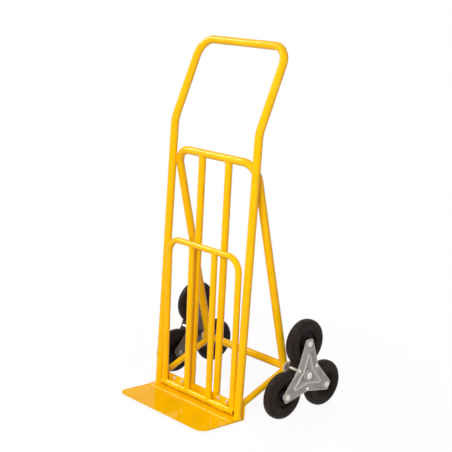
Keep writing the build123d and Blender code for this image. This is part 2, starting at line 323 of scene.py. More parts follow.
def addSheet(bm, line, thick, halfWidths, middleX, columns):  # bent sheet, line in (u, w)
    rings = []
    for spot, (u, w) in enumerate(line):
        ahead = line[min(spot + 1, len(line) - 1)]
        behind = line[max(spot - 1, 0)]
        run = Vector((ahead[0] - behind[0], ahead[1] - behind[1])).normalized()
        normal = Vector((-run.y, run.x)) * thick / 2
        across = [middleX + halfWidths[spot] * (2 * column / columns - 1) for column in range(columns + 1)]
        skin = [leanPoint(x, u + normal.x, w + normal.y) for x in across]
        skin += [leanPoint(x, u - normal.x, w - normal.y) for x in reversed(across)]
        rings.append(addRing(bm, skin))
    joinRings(bm, rings, lids=False)
    for ring in (rings[0], rings[-1]):
        for column in range(columns):
            bm.faces.new((ring[column], ring[column + 1], ring[-2 - column], ring[-1 - column]))


def arcLine(centreU, centreW, radius, fromDeg, toDeg, steps):
    line = []
    for step in range(steps + 1):
        turn = radians(fromDeg + (toDeg - fromDeg) * step / steps)
        line.append((centreU + radius * cos(turn), centreW + radius * sin(turn)))
    return line


# finishes, from noise in each piece's own coordinates
def setSockets(tree, node, sockets):  # another node's socket is linked in, any other value is set
    for name, value in sockets.items():
        if isinstance(value, bpy.types.NodeSocket):
            tree.links.new(value, node.inputs[name])
        else:
            node.inputs[name].default_value = value


def addNode(tree, kind, sockets, **settings):
    node = tree.nodes.new("ShaderNode" + kind)
    for name, value in settings.items():
        setattr(node, name, value)
    setSockets(tree, node, sockets)
    return node


def noiseOf(tree, place, scale, detail=3, rough=0.5):
    sockets = {"Vector": place, "Scale": scale, "Detail": detail, "Roughness": rough}
    return addNode(tree, "TexNoise", sockets).outputs["Fac"]


def rampOf(tree, fac, stops):
    ramp = addNode(tree, "ValToRGB", {"Fac": fac})
    marks = ramp.color_ramp.elements
    for spot in (0, -1):
        marks[spot].position = stops[spot][0]
        marks[spot].color = (*stops[spot][1], 1)
    for position, colour in stops[1:-1]:
        marks.new(position).color = (*colour, 1)
    return ramp.outputs["Color"]


def rangeOf(tree, fac, low, high, fromLow=0.3, fromHigh=0.7):
    sockets = {"Value": fac, "From Min": fromLow, "From Max": fromHigh, "To Min": low, "To Max": high}
    return addNode(tree, "MapRange", sockets).outputs["Result"]


def dustWearHighlightColour(tree, place, skin, paleColour, scale, least):  # paler colour in patches where the mesh is marked; the marks are dust, wear and painted highlight
    dustWearHighlightMark = addNode(tree, "Attribute", {}, attribute_name="dustWearHighlight").outputs["Fac"]
    patch = rangeOf(tree, noiseOf(tree, place, scale, 4, 0.6), least, 1.0)
    share = addNode(tree, "Math", {0: dustWearHighlightMark, 1: patch}, operation="MULTIPLY").outputs[0]
    # this node has its colours on sockets 6 and 7
    return addNode(tree, "Mix", {0: share, 6: skin, 7: (*paleColour, 1)}, data_type="RGBA").outputs[2]


def makeFinish(name, look):
    finish = bpy.data.materials.new(name)
    finish.use_nodes = True
    tree = finish.node_tree
    place = addNode(tree, "TexCoord", {}).outputs["Object"]
    if "stretch" in look:
        place = addNode(tree, "Mapping", {"Vector": place, "Scale": look["stretch"]}).outputs["Vector"]
    colour = rampOf(tree, noiseOf(tree, place, *look["cloud"]), look["colours"])
    if "dustWearHighlight" in look:
        colour = dustWearHighlightColour(tree, place, colour, *look["dustWearHighlight"])
    rough = rangeOf(tree, noiseOf(tree, place, *look["scuff"]), *look["rough"])
    normal = {}
    for noise, strength, depth in look["bumps"]:
        height = noiseOf(tree, place, *noise)
        sockets = {"Height": height, "Strength": strength, "Distance": depth * mm, **normal}
        normal = {"Normal": addNode(tree, "Bump", sockets).outputs["Normal"]}
    sockets = {"Base Color": colour, "Roughness": rough, **normal, **look["shader"]}
    setSockets(tree, tree.nodes["Principled BSDF"], sockets)
    return finish


# cloud and scuff are noises for colour and roughness: scale, detail, roughness
# bumps are a noise, its strength and its depth in millimetres; the paler mark is a colour, patch scale and
# least share, for dust, wear and painted highlight
coatLook = {
    "cloud": (14, 4, 0.55),
    "colours": ((0.3, (0.88, 0.51, 0.0003)), (0.5, (0.895, 0.54, 0.0003)), (0.7, (0.905, 0.56, 0.0003))),
    "scuff": (60, 4, 0.6),
    "rough": (0.16, 0.26),
    "bumps": (((90, 2, 0.4), 0.05, 0.2), ((650, 2), 0.05, 0.1)),
    "shader": {"Specular Tint": (1.0, 0.7, 0.06, 1), "Specular IOR Level": 0.08, "Coat Weight": 0.25,
               "Coat Roughness": 0.1},
}
# the frame's yellow written darker for the toe plate and its strip, as painted shade
sheetLook = {
    **coatLook,
    "colours": ((0.3, (0.82, 0.475, 0.0004)), (0.5, (0.835, 0.497, 0.0004)), (0.7, (0.845, 0.515, 0.0004))),
    "rough": (0.03, 0.07),
    "shader": {**coatLook["shader"], "Specular IOR Level": 0.05, "Coat Weight": 0.0},
}
stripLook = {**sheetLook, "shader": {**sheetLook["shader"], "Coat Weight": 0.4}}
rubberLook = {
    "cloud": (22, 5, 0.6),
    "colours": ((0.32, (0.004, 0.0024, 0.0018)), (0.72, (0.014, 0.0093, 0.0072))),
    "dustWearHighlight": ((0.045, 0.037, 0.032), 40, 0.3),  # dust, and painted highlight on the tread crowns and the wall's bulge
    "scuff": (60, 4),
    "rough": (0.36, 0.54),
    "bumps": (((180,), 0.15, 0.3), ((1100,), 0.18, 0.12)),
    "shader": {"Specular IOR Level": 0.115},
}
castLook = {
    "cloud": (45, 6, 0.62),
    "colours": ((0.28, (0.23, 0.238, 0.236)), (0.74, (0.41, 0.424, 0.42))),
    # worn edges with painted highlight on the rims, rib crests and slopes
    "dustWearHighlight": ((0.8, 0.8, 0.78), 110, 0.45),
    "scuff": (160, 4),
    "rough": (0.3, 0.48),
    "bumps": (((520, 4, 0.6), 0.3, 0.25), ((70, 2), 0.14, 0.6)),
    "shader": {"Metallic": 0.35},
}
# the same cast written darker, as painted shade on the inner spiders in the frame's shade, its paler edge
# marks darker too
shadedInnerCastLook = {
    **castLook,
    "colours": ((0.28, (0.08, 0.071, 0.062)), (0.74, (0.135, 0.121, 0.107))),
    "dustWearHighlight": ((0.27, 0.252, 0.226), 110, 0.45),
    "rough": (0.42, 0.6),
    "shader": {"Metallic": 0.3},
}
zincLook = {
    "cloud": (130,),
    "colours": ((0.34, (0.7, 0.72, 0.74)), (0.5, (0.76, 0.75, 0.71)), (0.7, (0.78, 0.73, 0.6))),
    "scuff": (420, 4),
    "rough": (0.2, 0.4),
    "bumps": (((900,), 0.12, 0.1),),
    "shader": {"Metallic": 0.7},
}
# the zinc written darker, as painted shade on the nuts on the stars' inner faces
shadedZincLook = {
    **zincLook,
    "colours": ((0.34, (0.24, 0.235, 0.225)), (0.5, (0.3, 0.28, 0.25)), (0.7, (0.33, 0.28, 0.2))),
    "rough": (0.42, 0.6),
}
washerLook = {**zincLook, "rough": (0.2, 0.5), "shader": {"Metallic": 0.1}}
steelLook = {
    "stretch": (1500, 40, 40),  # turning marks run round the axle
    "cloud": (1.0, 3, 0.6),
    "colours": ((0.3, (0.3, 0.225, 0.185)), (0.7, (0.52, 0.42, 0.36))),
    "scuff": (1.0, 3, 0.6),
    "rough": (0.16, 0.34),
    "bumps": (((1.0, 3, 0.6), 0.12, 0.08),),
    "shader": {"Metallic": 1.0},
}
wheelLook = {
    "cloud": (35, 4),
    "colours": ((0.3, (0.0035, 0.0024, 0.0019)), (0.75, (0.009, 0.0068, 0.0055))),
    "scuff": (240,),
    "rough": (0.36, 0.52),
    "bumps": (((800,), 0.15, 0.12),),
    "shader": {"Specular IOR Level": 0.12},
}
boreShadeLook = {  # painted shade inside the open tube ends: a near-black lining
    "cloud": (150, 5, 0.6),
    "colours": ((0.3, (0.008, 0.006, 0.005)), (0.75, (0.03, 0.022, 0.015))),
    "scuff": (150, 5, 0.6),
    "rough": (0.55, 0.8),
    "bumps": (((150, 5, 0.6), 0.3, 0.3),),
    "shader": {},
}

yellowCoat = makeFinish("yellowCoat", coatLook)
yellowSheet = makeFinish("yellowSheet", sheetLook)
yellowStrip = makeFinish("yellowStrip", stripLook)
tyreRubber = makeFinish("tyreRubber", rubberLook)
castGrey = makeFinish("castGrey", castLook)
shadedInnerCast = makeFinish("shadedInnerCast", shadedInnerCastLook)
brightZinc = makeFinish("brightZinc", zincLook)
shadedZinc = makeFinish("shadedZinc", shadedZincLook)
washerZinc = makeFinish("washerZinc", washerLook)
turnedSteel = makeFinish("turnedSteel", steelLook)
wheelBlack = makeFinish("wheelBlack", wheelLook)
paintedShadeBore = makeFinish("paintedShadeBore", boreShadeLook)
print("finishes made")

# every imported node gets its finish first, and the pieces below replace most of them
slotFinish = {
    "yellow_coat": yellowCoat,
    "cast_grey": castGrey,
    "zinc": brightZinc,
    "bright_steel": turnedSteel,
    "tyre": tyreRubber,
    "wheel_black": wheelBlack,
    "bush": turnedSteel,
}
for entry in frame["record"]["subparts"]:
    nodeMesh = frame["nodes"][entry["node"]].data
    nodeMesh.materials.clear()
    nodeMesh.materials.append(slotFinish[entry["material_slot"]])


def coatPiece(name, bm, node, body="frame"):
    makePiece(name, bm, yellowCoat, body, [node])


# toe plate: bent sheet with rounded front corners and a small radius on the upstand
toePlate = {"width": 438.0, "upstand": 50.0, "frontCorner": 32.0, "topCorner": 5.0, "edge": 0.9,
            "columns": 24, "cornerSteps": 12, "footSteps": 9, "bendSteps": 10, "riseSteps": 4, "topSteps": 6}


def buildToePlate():
    depth = truck["plateDepth"]
    bend = truck["plateBend"]
    corner = toePlate["frontCorner"]
    top = toePlate["topCorner"]
    half = toePlate["width"] / 2
    rise = toePlate["upstand"] - top
    line = []
    widths = []
    for step in range(toePlate["cornerSteps"] + 1):
        swing = radians(90 * step / toePlate["cornerSteps"])
        line.append((-depth + corner * (1 - cos(swing)), plateThick / 2))
        widths.append(half - corner + corner * sin(swing))
    foot = depth - corner - bend
    for step in range(1, toePlate["footSteps"]):
        line.append((-depth + corner + foot * step / toePlate["footSteps"], plateThick / 2))
    line += arcLine(-bend, bend, bend - plateThick / 2, -90, 0, toePlate["bendSteps"])
    for step in range(1, toePlate["riseSteps"]):
        line.append((-plateThick / 2, bend + (rise - bend) * step / toePlate["riseSteps"]))
    widths += [half] * (len(line) - len(widths))
    for step in range(toePlate["topSteps"] + 1):
        swing = radians(90 * step / toePlate["topSteps"])
        line.append((-plateThick / 2, rise + top * sin(swing)))
        widths.append(half - top + top * cos(swing))
    bm = bmesh.new()
    addSheet(bm, line, plateThick, widths, 0, toePlate["columns"])
    makePiece("toePlateSheet", bm, yellowSheet, "frame", ["toe_plate"], toePlate["edge"])


buildToePlate()

# flat foot of the angle, lying on the plate in front of the upstand
heelStrip = {"reach": 60.0, "back": 7.0, "thick": 3.0, "nose": 2.6, "sunk": 0.3, "inset": 0.8, "edge": 0.4,
             "noseSteps": 8}


def buildHeelStrip():
    low = plateThick - heelStrip["sunk"]
    top = low + heelStrip["thick"]
    nose = heelStrip["nose"]
    outline = [(-heelStrip["back"], low), (-heelStrip["back"], top)]
    outline += arcLine(-heelStrip["reach"] + nose, top - nose, nose, 90, 180, heelStrip["noseSteps"])
    outline.append((-heelStrip["reach"], low))
    half = toePlate["width"] / 2 - heelStrip["inset"]
    bm = bmesh.new()
    joinRings(bm, [addRing(bm, [leanPoint(x, u, w) for u, w in outline]) for x in (-half, half)])
    makePiece("toeHeelStrip", bm, yellowStrip, "frame", (), heelStrip["edge"])


buildHeelStrip()

# main frame: uprights and handle loop from one bent tube
mainFrame = {"kink": 963.0, "kinkAngle": 20.6, "kinkRadius": 120.0, "handle": 294.0, "handleCorner": 60.0}


def buildMainFrame():
    topU = uprightU + mainFrame["handle"] * sin(radians(mainFrame["kinkAngle"]))
    topW = mainFrame["kink"] + mainFrame["handle"] * cos(radians(mainFrame["kinkAngle"]))
    side = [(uprightU, plateThick), (uprightU, mainFrame["kink"]), (topU, topW)]
    corners = loopCorners(leanPoint, uprightX, side)
    radii = [mainFrame[bend] for bend in ("kinkRadius", "handleCorner", "handleCorner", "kinkRadius")]
    bm = bmesh.new()
    addTube(bm, bendPath(corners, radii), frameRadius, tubeMesh["thickAround"])
    coatPiece("mainFrameTube", bm, "main_frame_tube")


buildMainFrame()

# rear hoop, slats, axle beam and braces, welded to each other
rearHoop = {"spacing": 388.0, "height": 862.0, "setback": 11.0, "corner": 60.0, "bendSteps": 24}
innerSlat = {"spacing": 130.0, "tube": 25.0, "foot": 12.0}
axleBeam = {"end": 209.0, "round": 1.2, "bore": 10.1, "around": 56}
lowerBrace = {"spacing": 394.0, "tube": 22.0, "rise": 21.4, "drop": 12.4}
hoopU = uprightU + rearHoop["setback"]
beamHost = (leanPoint(0, axleU, axleW), acrossX, frameRadius * mm)
crossbarHost = (leanPoint(0, hoopU, rearHoop["height"]), acrossX, frameRadius * mm)


def hoopPath():
    side = [(axleU, axleW), (hoopU, rearHoop["height"])]
    corners = loopCorners(leanPoint, rearHoop["spacing"] / 2, side)
    return bendPath(corners, [rearHoop["corner"]] * 2, rearHoop["bendSteps"])


def slatEnds(side):
    half = innerSlat["spacing"] / 2 * side
    middleW = toePlate["upstand"] / 2
    lowU = innerSlat["tube"] / 2
    slope = (hoopU - lowU) / (rearHoop["height"] - middleW)
    low = leanPoint(half, lowU - slope * (middleW - innerSlat["foot"]), innerSlat["foot"])
    return low, leanPoint(half, hoopU, rearHoop["height"])


def braceEnds(side):
    half = lowerBrace["spacing"] / 2 * side
    rise = radians(lowerBrace["rise"] + truck["lean"])
    backU = axleU + lowerBrace["drop"] * sin(leanTurn)
    backW = axleW - lowerBrace["drop"] * cos(leanTurn)
    return leanPoint(half, 0, backW - backU * tan(rise)), leanPoint(half, backU, backW)


def buildAxleBeam():
    end = axleBeam["end"]
    soft = axleBeam["round"]
    half = [(end - soft, frameRadius), (end - soft * 0.3, frameRadius - soft * 0.3),
            (end, frameRadius - soft), (end, axleBeam["bore"])]
    bm = bmesh.new()
    addLathe(bm, bothEnds(half), leanPoint(0, axleU, axleW), 1, axleBeam["around"])
    coatPiece("axleBeamTube", bm, "axle_beam")


def buildBackFrame():
    bm = bmesh.new()
    addTube(bm, hoopPath(), frameRadius, tubeMesh["thickAround"], beamHost, beamHost)
    coatPiece("rearHoopTube", bm, "rear_hoop")
    buildAxleBeam()
    for sideName, side in bothSides:
        low, high = slatEnds(side)
        bm = bmesh.new()
        addTube(bm, fillRun([low], high), innerSlat["tube"] / 2, endOn=crossbarHost)
        coatPiece("innerSlatTube." + sideName, bm, "inner_slat_" + sideName)
        low, high = braceEnds(side)
        bm = bmesh.new()
        addTube(bm, fillRun([low], high), lowerBrace["tube"] / 2, endOn=beamHost)
        coatPiece("lowerBraceTube." + sideName, bm, "lower_brace_" + sideName)


buildBackFrame()
print("frame tubes and toe plate built")

# fold-down toe frame
toeFrame = {"spacing": 350.0, "length": 530.0, "corner": 52.0, "bendSteps": 24, "bars": 113.0,
            "overhang": 12.0, "bore": 9.0, "boreDeep": 40.0, "round": 0.7, "around": 48}
foldAxis = (foldPoint(0, 0, 0), acrossX, foldRadius * mm)
foldTop = (foldPoint(0, 0, toeFrame["length"]), acrossX, foldRadius * mm)


def buildToeFrame():
    half = toeFrame["spacing"] / 2
    corners = loopCorners(foldPoint, half, [(0, 0), (0, toeFrame["length"])])
    path = bendPath(corners, [toeFrame["corner"]] * 2, toeFrame["bendSteps"])
    bm = bmesh.new()
    addTube(bm, path, foldRadius, startOn=foldAxis, endOn=foldAxis)
    coatPiece("foldHoopTube", bm, "fold_hoop", "toe_frame")
    for sideName, side in bothSides:
        x = toeFrame["bars"] / 2 * side
        bm = bmesh.new()
        path = fillRun([foldPoint(x, 0, 0)], foldPoint(x, 0, toeFrame["length"]))
        addTube(bm, path, foldRadius, startOn=foldAxis, endOn=foldTop)
        coatPiece("foldBarTube." + sideName, bm, "fold_bar_" + sideName, "toe_frame")
    end = half + toeFrame["overhang"]
    soft = toeFrame["round"]
    bore = toeFrame["bore"]
    deep = end - toeFrame["boreDeep"]
    middle = foldPoint(0, 0, 0)
    skin = bothEnds([(end - soft, foldRadius), (end, foldRadius - soft), (end, bore)])
    bm = bmesh.new()
    addLathe(bm, skin, middle, 1, toeFrame["around"], False)
    coatPiece("foldHingeTube", bm, "fold_hinge_tube", "toe_frame")
    # the bore's near-black lining is painted shade
    bm = bmesh.new()
    for way in (-1, 1):
        addLathe(bm, [(end, bore), (deep, bore), (deep, 0)], middle, way, toeFrame["around"], False)
    makePiece("foldHingeBore", bm, paintedShadeBore, "toe_frame")


buildToeFrame()

# hinge straps, their bolts and nuts
hingeStrap = {"width": 60.0, "centre": 115.75, "top": 49.0, "lug": 7.0, "bend": 2.5, "touch": 81.9,
              "wrap": 345, "edge": 0.6, "columns": 4, "bendSteps": 8, "wrapSteps": 36}
hingeBolt = {"pitch": 42.0, "height": 40.5, "washer": 6.2, "washerThick": 1.0, "headFlats": 10.0,
             "head": 3.6, "headChamfer": 0.8, "flats": 10.0, "nut": 4.6, "nutChamfer": 0.8, "shank": 3.0,
             "shankOut": 5.0, "shankTip": (0.4, 0.5)}


def strapLine():
    ring = foldRadius + truck["strapGap"] + truck["strapThick"] / 2
    lugU = hingeU + ring
    bend = hingeStrap["bend"]
    touch = hingeStrap["touch"]  # where the strap first meets the tube, 90 is its top
    bendW = (ring + bend - (ring - bend) * cos(radians(touch))) / sin(radians(touch))
    line = [(lugU, hingeStrap["top"]), (lugU, hingeStrap["top"] - hingeStrap["lug"])]
    line += arcLine(lugU - bend, hingeW + bendW, bend, 0, touch - 180, hingeStrap["bendSteps"])
    return line + arcLine(hingeU, hingeW, ring, touch, hingeStrap["wrap"], hingeStrap["wrapSteps"])


def buildHinge():
    line = strapLine()
    halfWidths = [hingeStrap["width"] / 2] * len(line)
    forward = (leanPoint(0, -1, 0) - leanPoint(0, 0, 0)).normalized()
    bolts = bmesh.new()
    nuts = bmesh.new()
    for sideName, side in bothSides:
        middleX = hingeStrap["centre"] * side
        bm = bmesh.new()
        addSheet(bm, line, truck["strapThick"], halfWidths, middleX, hingeStrap["columns"])
        makePiece("hingeStrapSheet." + sideName, bm, yellowCoat, "frame",
                  ["hinge_strap_" + sideName], hingeStrap["edge"])
        for step in (-0.5, 0.5):
            x = middleX + hingeBolt["pitch"] * step
            headSeat = leanPoint(x, -plateThick - truck["strapThick"], hingeBolt["height"])
            nutSeat = leanPoint(x, 0, hingeBolt["height"])
            addBolt(bolts, nuts, hingeBolt, headSeat, nutSeat, forward)
    makePiece("hingeBoltHeads", bolts, brightZinc, "frame", ["hinge_bolts"])
    makePiece("hingeNutSet", nuts, brightZinc, "frame", ["hinge_nuts"])


buildHinge()
print("toe frame and hinge built")

# weld beads, painted over with the frame
weldPlace = {"slatAside": 8.5, "slatBack": 1.6, "slatHeights": (16, 24, 32, 40, 47), "sheetSize": 2.4,
             "braceBack": 0.6, "braceSteps": 48, "topGap": 1.0, "footSize": 2.3, "footUp": 0.6,
             "footSteps": 40, "seamReach": 29.6, "seamOut": 0.4, "seamAside": 7.0, "seamSize": 3.2,
             "foldSize": 2.0}
backward = Vector((0, 1, 0))


def weldSlat(bm, side):
    low, high = slatEnds(side)
    addWeld(bm, tubeRing(high, (low - high).normalized(), innerSlat["tube"] / 2, crossbarHost))
    for edge in (-1, 1):
        x = innerSlat["spacing"] / 2 * side + edge * weldPlace["slatAside"]
        line = [leanPoint(x, weldPlace["slatBack"], w) for w in weldPlace["slatHeights"]]
        addWeld(bm, line, False, weldPlace["sheetSize"], backward)


def weldHoopLeg(bm, side):
    half = rearHoop["spacing"] / 2 * side
    legTop = leanPoint(half, hoopU, rearHoop["height"])
    legFoot = leanPoint(half, axleU, axleW)
    addWeld(bm, tubeRing(legFoot, (legTop - legFoot).normalized(), frameRadius, beamHost))


def weldBrace(bm, side):
    low, high = braceEnds(side)
    radius = lowerBrace["tube"] / 2
    addWeld(bm, tubeRing(high, (low - high).normalized(), radius, beamHost))
    middleX = lowerBrace["spacing"] / 2 * side
    middleW = (low.z / mm + heelDrop) / cos(leanTurn)
    slant = radians(lowerBrace["rise"] + truck["lean"])
    ring = []
    for step in range(weldPlace["braceSteps"]):
        turn = 2 * pi * step / weldPlace["braceSteps"]
        w = middleW + radius * sin(turn) / cos(slant)
        if w < toePlate["upstand"] - weldPlace["topGap"]:
            ring.append((middleX + radius * cos(turn), w))
    ring.sort(key=lambda spot: atan2(spot[0] - middleX, middleW - spot[1]))
    line = [leanPoint(x, weldPlace["braceBack"], w) for x, w in ring]
    addWeld(bm, line, False, weldPlace["sheetSize"], backward)


def weldUpright(bm, side):
    footW = plateThick - heelStrip["sunk"] + heelStrip["thick"] + weldPlace["footUp"]
    foot = []
    for step in range(weldPlace["footSteps"]):
        turn = 2 * pi * step / weldPlace["footSteps"]
        x = uprightX * side + frameRadius * cos(turn)
        foot.append(leanPoint(x, uprightU + frameRadius * sin(turn), footW))
    addWeld(bm, foot, True, weldPlace["footSize"])


def weldSeams(bm, side):  # where the hoop's corner nestles against the upright
    post = leanPoint(uprightX * side, uprightU, 0)
    postAxis = (leanPoint(0, 0, 100) - leanPoint(0, 0, 0)).normalized()
    out = frameRadius + weldPlace["seamOut"]
    seams = {1: [], -1: []}
    for point in hoopPath():
        nearest = post + postAxis * (point - post).dot(postAxis)
        gap = point - nearest
        if gap.length < weldPlace["seamReach"] * mm:
            outward = gap.normalized()
            lateral = postAxis.cross(outward) * weldPlace["seamAside"]
            for edge in seams:
                seams[edge].append(nearest + (outward * out + lateral * edge) * mm)
    for edge, line in seams.items():
        addWeld(bm, line, False, weldPlace["seamSize"], line[0] - seams[-edge][0])


def weldFold(bm, side):
    barX = toeFrame["bars"] / 2 * side
    upward = (foldPoint(0, 0, 1) - foldPoint(0, 0, 0)).normalized()
    for x in (barX, toeFrame["spacing"] / 2 * side):
        addWeld(bm, tubeRing(foldPoint(x, 0, 0), upward, foldRadius, foldAxis), True, weldPlace["foldSize"])
    barTop = foldPoint(barX, 0, toeFrame["length"])
    addWeld(bm, tubeRing(barTop, -upward, foldRadius, foldTop), True, weldPlace["foldSize"])


def buildWelds():
    frameWelds = bmesh.new()
    foldWelds = bmesh.new()
    for side in (1, -1):
        for weld in (weldSlat, weldHoopLeg, weldBrace, weldUpright, weldSeams):
            weld(frameWelds, side)
        weldFold(foldWelds, side)
    makePiece("frameWeldBeads", frameWelds, yellowCoat, "frame")
    makePiece("foldWeldBeads", foldWelds, yellowCoat, "toe_frame")


buildWelds()
print("weld beads laid")

# star units: two cast spiders, hub, bolts and distance pieces on each side
# the rim, back, rib and slope marks are edge wear with painted highlight
spider = {"inside": 20.3, "thick": 4.0, "edge": 1.2, "armEnd": 17.0, "armTip": 15.0, "armCorner": 8.0,
          "waist": 57.0, "waistRound": 16.0, "arcSteps": 9, "rimWide": 4.0, "rimWearHighlight": 0.7, "backWearHighlight": 0.3,
          "emboss": 3.6, "embossReach": 77.0, "embossTip": 7.5, "embossWaist": 32.0, "embossCorner": 1.4,
          "embossRound": 9.0, "ribWide": 10.5, "ribWearHighlight": 0.85, "slopeWearHighlight": 0.6, "dished": 3.2,
          "leastTip": 1.5, "boss": 14.5, "bossHigh": 0.8, "hub": 21.0, "hubHigh": 6.0, "bore": 10.4,
          "sleeve": 16.0, "sleeveProud": 5.0, "sleeveBore": 10.2, "sleeveRound": 0.6, "hubAround": 64,
          "bossAround": 48, "sleeveAround": 56}
wheelBolt = {"washer": 10.6, "washerThick": 1.2, "headFlats": 17.48, "head": 3.5, "headChamfer": 1.0,
             "flats": 19.0, "nut": 7.8, "nutChamfer": 1.2, "shank": 6.0, "shankOut": 9.0,
             "shankTip": (0.7, 0.8)}
tieRod = {"reach": 49.0, "body": 6.0, "neck": 3.0, "head": 6.5, "headHigh": 3.0, "around": 32}
armTurns = {"top": 90, "front": 210, "rear": 330}
starFace = spider["inside"] + spider["thick"]


def starSpot(reach, angle, aside=0):
    turn = radians(angle)
    return Vector((0, reach * cos(turn) - aside * sin(turn), reach * sin(turn) + aside * cos(turn)))


def starLine(reach, tip, waist, tipRound, waistRound):
    corners = []
    radii = []
    for angle in armTurns.values():
        corners += [starSpot(reach, angle, -tip), starSpot(reach, angle, tip), starSpot(waist, angle + 60)]
        radii += [tipRound, tipRound, waistRound]
    return roundPolygon(corners, radii, spider["arcSteps"])


def insetStar(reach, tip, waist, inset):  # the same star drawn in by one distance along all its sides
    tipCorner = Vector((reach, tip))
    waistCorner = Vector((waist * cos(radians(60)), waist * sin(radians(60))))
    along = (waistCorner - tipCorner).normalized()
    moved = tipCorner + Vector((-along.y, along.x)) * inset
    newReach = reach - inset
    newTip = moved.y + (newReach - moved.x) / along.x * along.y
    if newTip < spider["leastTip"]:
        newTip = spider["leastTip"]
        newReach = moved.x + (newTip - moved.y) / along.y * along.x
    slope = waistCorner.y / waistCorner.x
    step = (slope * moved.x - moved.y) / (along.y - slope * along.x)
    return newReach, newTip, (moved + along * step).length


def addSlab(bm, layers, centre, sideways):  # closed stack of outlines, each (x, wear and painted highlight, outline)
    rings = []
    for x, dustWearHighlightShare, line in layers:
        rings.append(addRing(bm, [centre + (acrossX * x * sideways + spot) * mm for spot in line], dustWearHighlightShare))
    joinRings(bm, rings)


def addSpiderPlate(bm, centre, sideways):
    inside = spider["inside"]
    rim = spider["rimWide"]
    corner = spider["armCorner"]
    hollow = spider["waistRound"]
    arms = (starRadius + spider["armEnd"], spider["armTip"], spider["waist"])
    outline = starLine(*arms, corner, hollow)
    inner = starLine(*insetStar(*arms, rim), corner - rim, hollow + rim)
    layers = [(inside, 0, inner), (inside, spider["backWearHighlight"], outline),
              (starFace, spider["rimWearHighlight"], outline), (starFace, 0, inner)]
    addSlab(bm, layers, centre, sideways)


def addSpiderRib(bm, centre, sideways):  # raised star with a rounded rib and a dished middle
    crest = starFace + spider["emboss"]
    rib = spider["ribWide"]
    slopeWearHighlight = spider["slopeWearHighlight"]
    star = (spider["embossReach"], spider["embossTip"], spider["embossWaist"])
    # the crest and slopes carry edge wear with painted highlight
    section = [(starFace - 0.4, 0, 0), (starFace + 0.2, 0, 0), (crest - 0.7, slopeWearHighlight, 0.3 * rib),
               (crest, spider["ribWearHighlight"], 0.46 * rib), (crest - 0.3, slopeWearHighlight, 0.6 * rib),
               (crest - spider["dished"], 0, rib)]
    layers = []
    for x, dustWearHighlightShare, inset in section:
        outline = starLine(*insetStar(*star, inset), spider["embossCorner"], spider["embossRound"])
        layers.append((x, dustWearHighlightShare, outline))
    addSlab(bm, layers, centre, sideways)


def addSpiderHub(bm, centre, sideways):
    end = starFace + spider["hubHigh"]
    raised = starFace + spider["emboss"]
    hub = spider["hub"]
    sleeve = spider["sleeve"]
    bore = spider["bore"]
    profile = [(starFace - 0.5, hub + 3.2), (raised - 0.2, hub + 1.8), (raised + 0.4, hub + 0.6),
               (raised + 1.0, hub), (end - 0.7, hub - 0.7), (end - 0.2, hub - 1.6), (end, hub - 2.8),
               (end, sleeve + 0.6), (end - 0.4, sleeve + 0.1), (end - 0.9, sleeve), (end - 0.9, bore),
               (starFace - 0.5, bore)]
    addLathe(bm, profile, centre, sideways, spider["hubAround"])


def buildSpider(name, node, body, centre, sideways, finish):
    bm = bmesh.new()
    addSpiderPlate(bm, centre, sideways)
    addSpiderRib(bm, centre, sideways)
    makePiece(name, bm, finish, body, [node], spider["edge"])
    bm = bmesh.new()
    addSpiderHub(bm, centre, sideways)
    boss = spider["boss"]
    end = starFace + spider["bossHigh"]
    profile = [(starFace - 0.3, boss + 0.6), (starFace + 0.1, boss), (end - 0.25, boss - 0.6),
               (end, boss - 1.2), (end, 0)]
    for angle in armTurns.values():
        armCentre = centre + starSpot(starRadius, angle) * mm
        addLathe(bm, profile, armCentre, sideways, spider["bossAround"], False)
    makePiece(name + ".bosses", bm, finish, body)


def addTieRod(ties, tieCentre, outward):
    inside = spider["inside"]
    head = tieRod["head"]
    high = tieRod["headHigh"]
    neck = tieRod["neck"]
    half = [(inside, tieRod["body"]), (inside, neck), (starFace, neck), (starFace, head),
            (starFace + high * 0.3, head), (starFace + high * 0.7, head * 0.85),
            (starFace + high, head * 0.5)]
    addTurned(ties, tieCentre, outward, bothEnds(half), tieRod["around"])


def buildHubSleeve(sideName, side, body, centre):
    sleeve = spider["sleeve"]
    soft = spider["sleeveRound"]
    end = starFace + spider["sleeveProud"]
    half = [(end - soft, sleeve), (end, sleeve - soft), (end, spider["sleeveBore"])]
    bm = bmesh.new()
    addLathe(bm, bothEnds(half), centre, side, spider["sleeveAround"])
    makePiece("hubSleeveTube." + sideName, bm, castGrey, body, ["hub_sleeve_" + sideName])


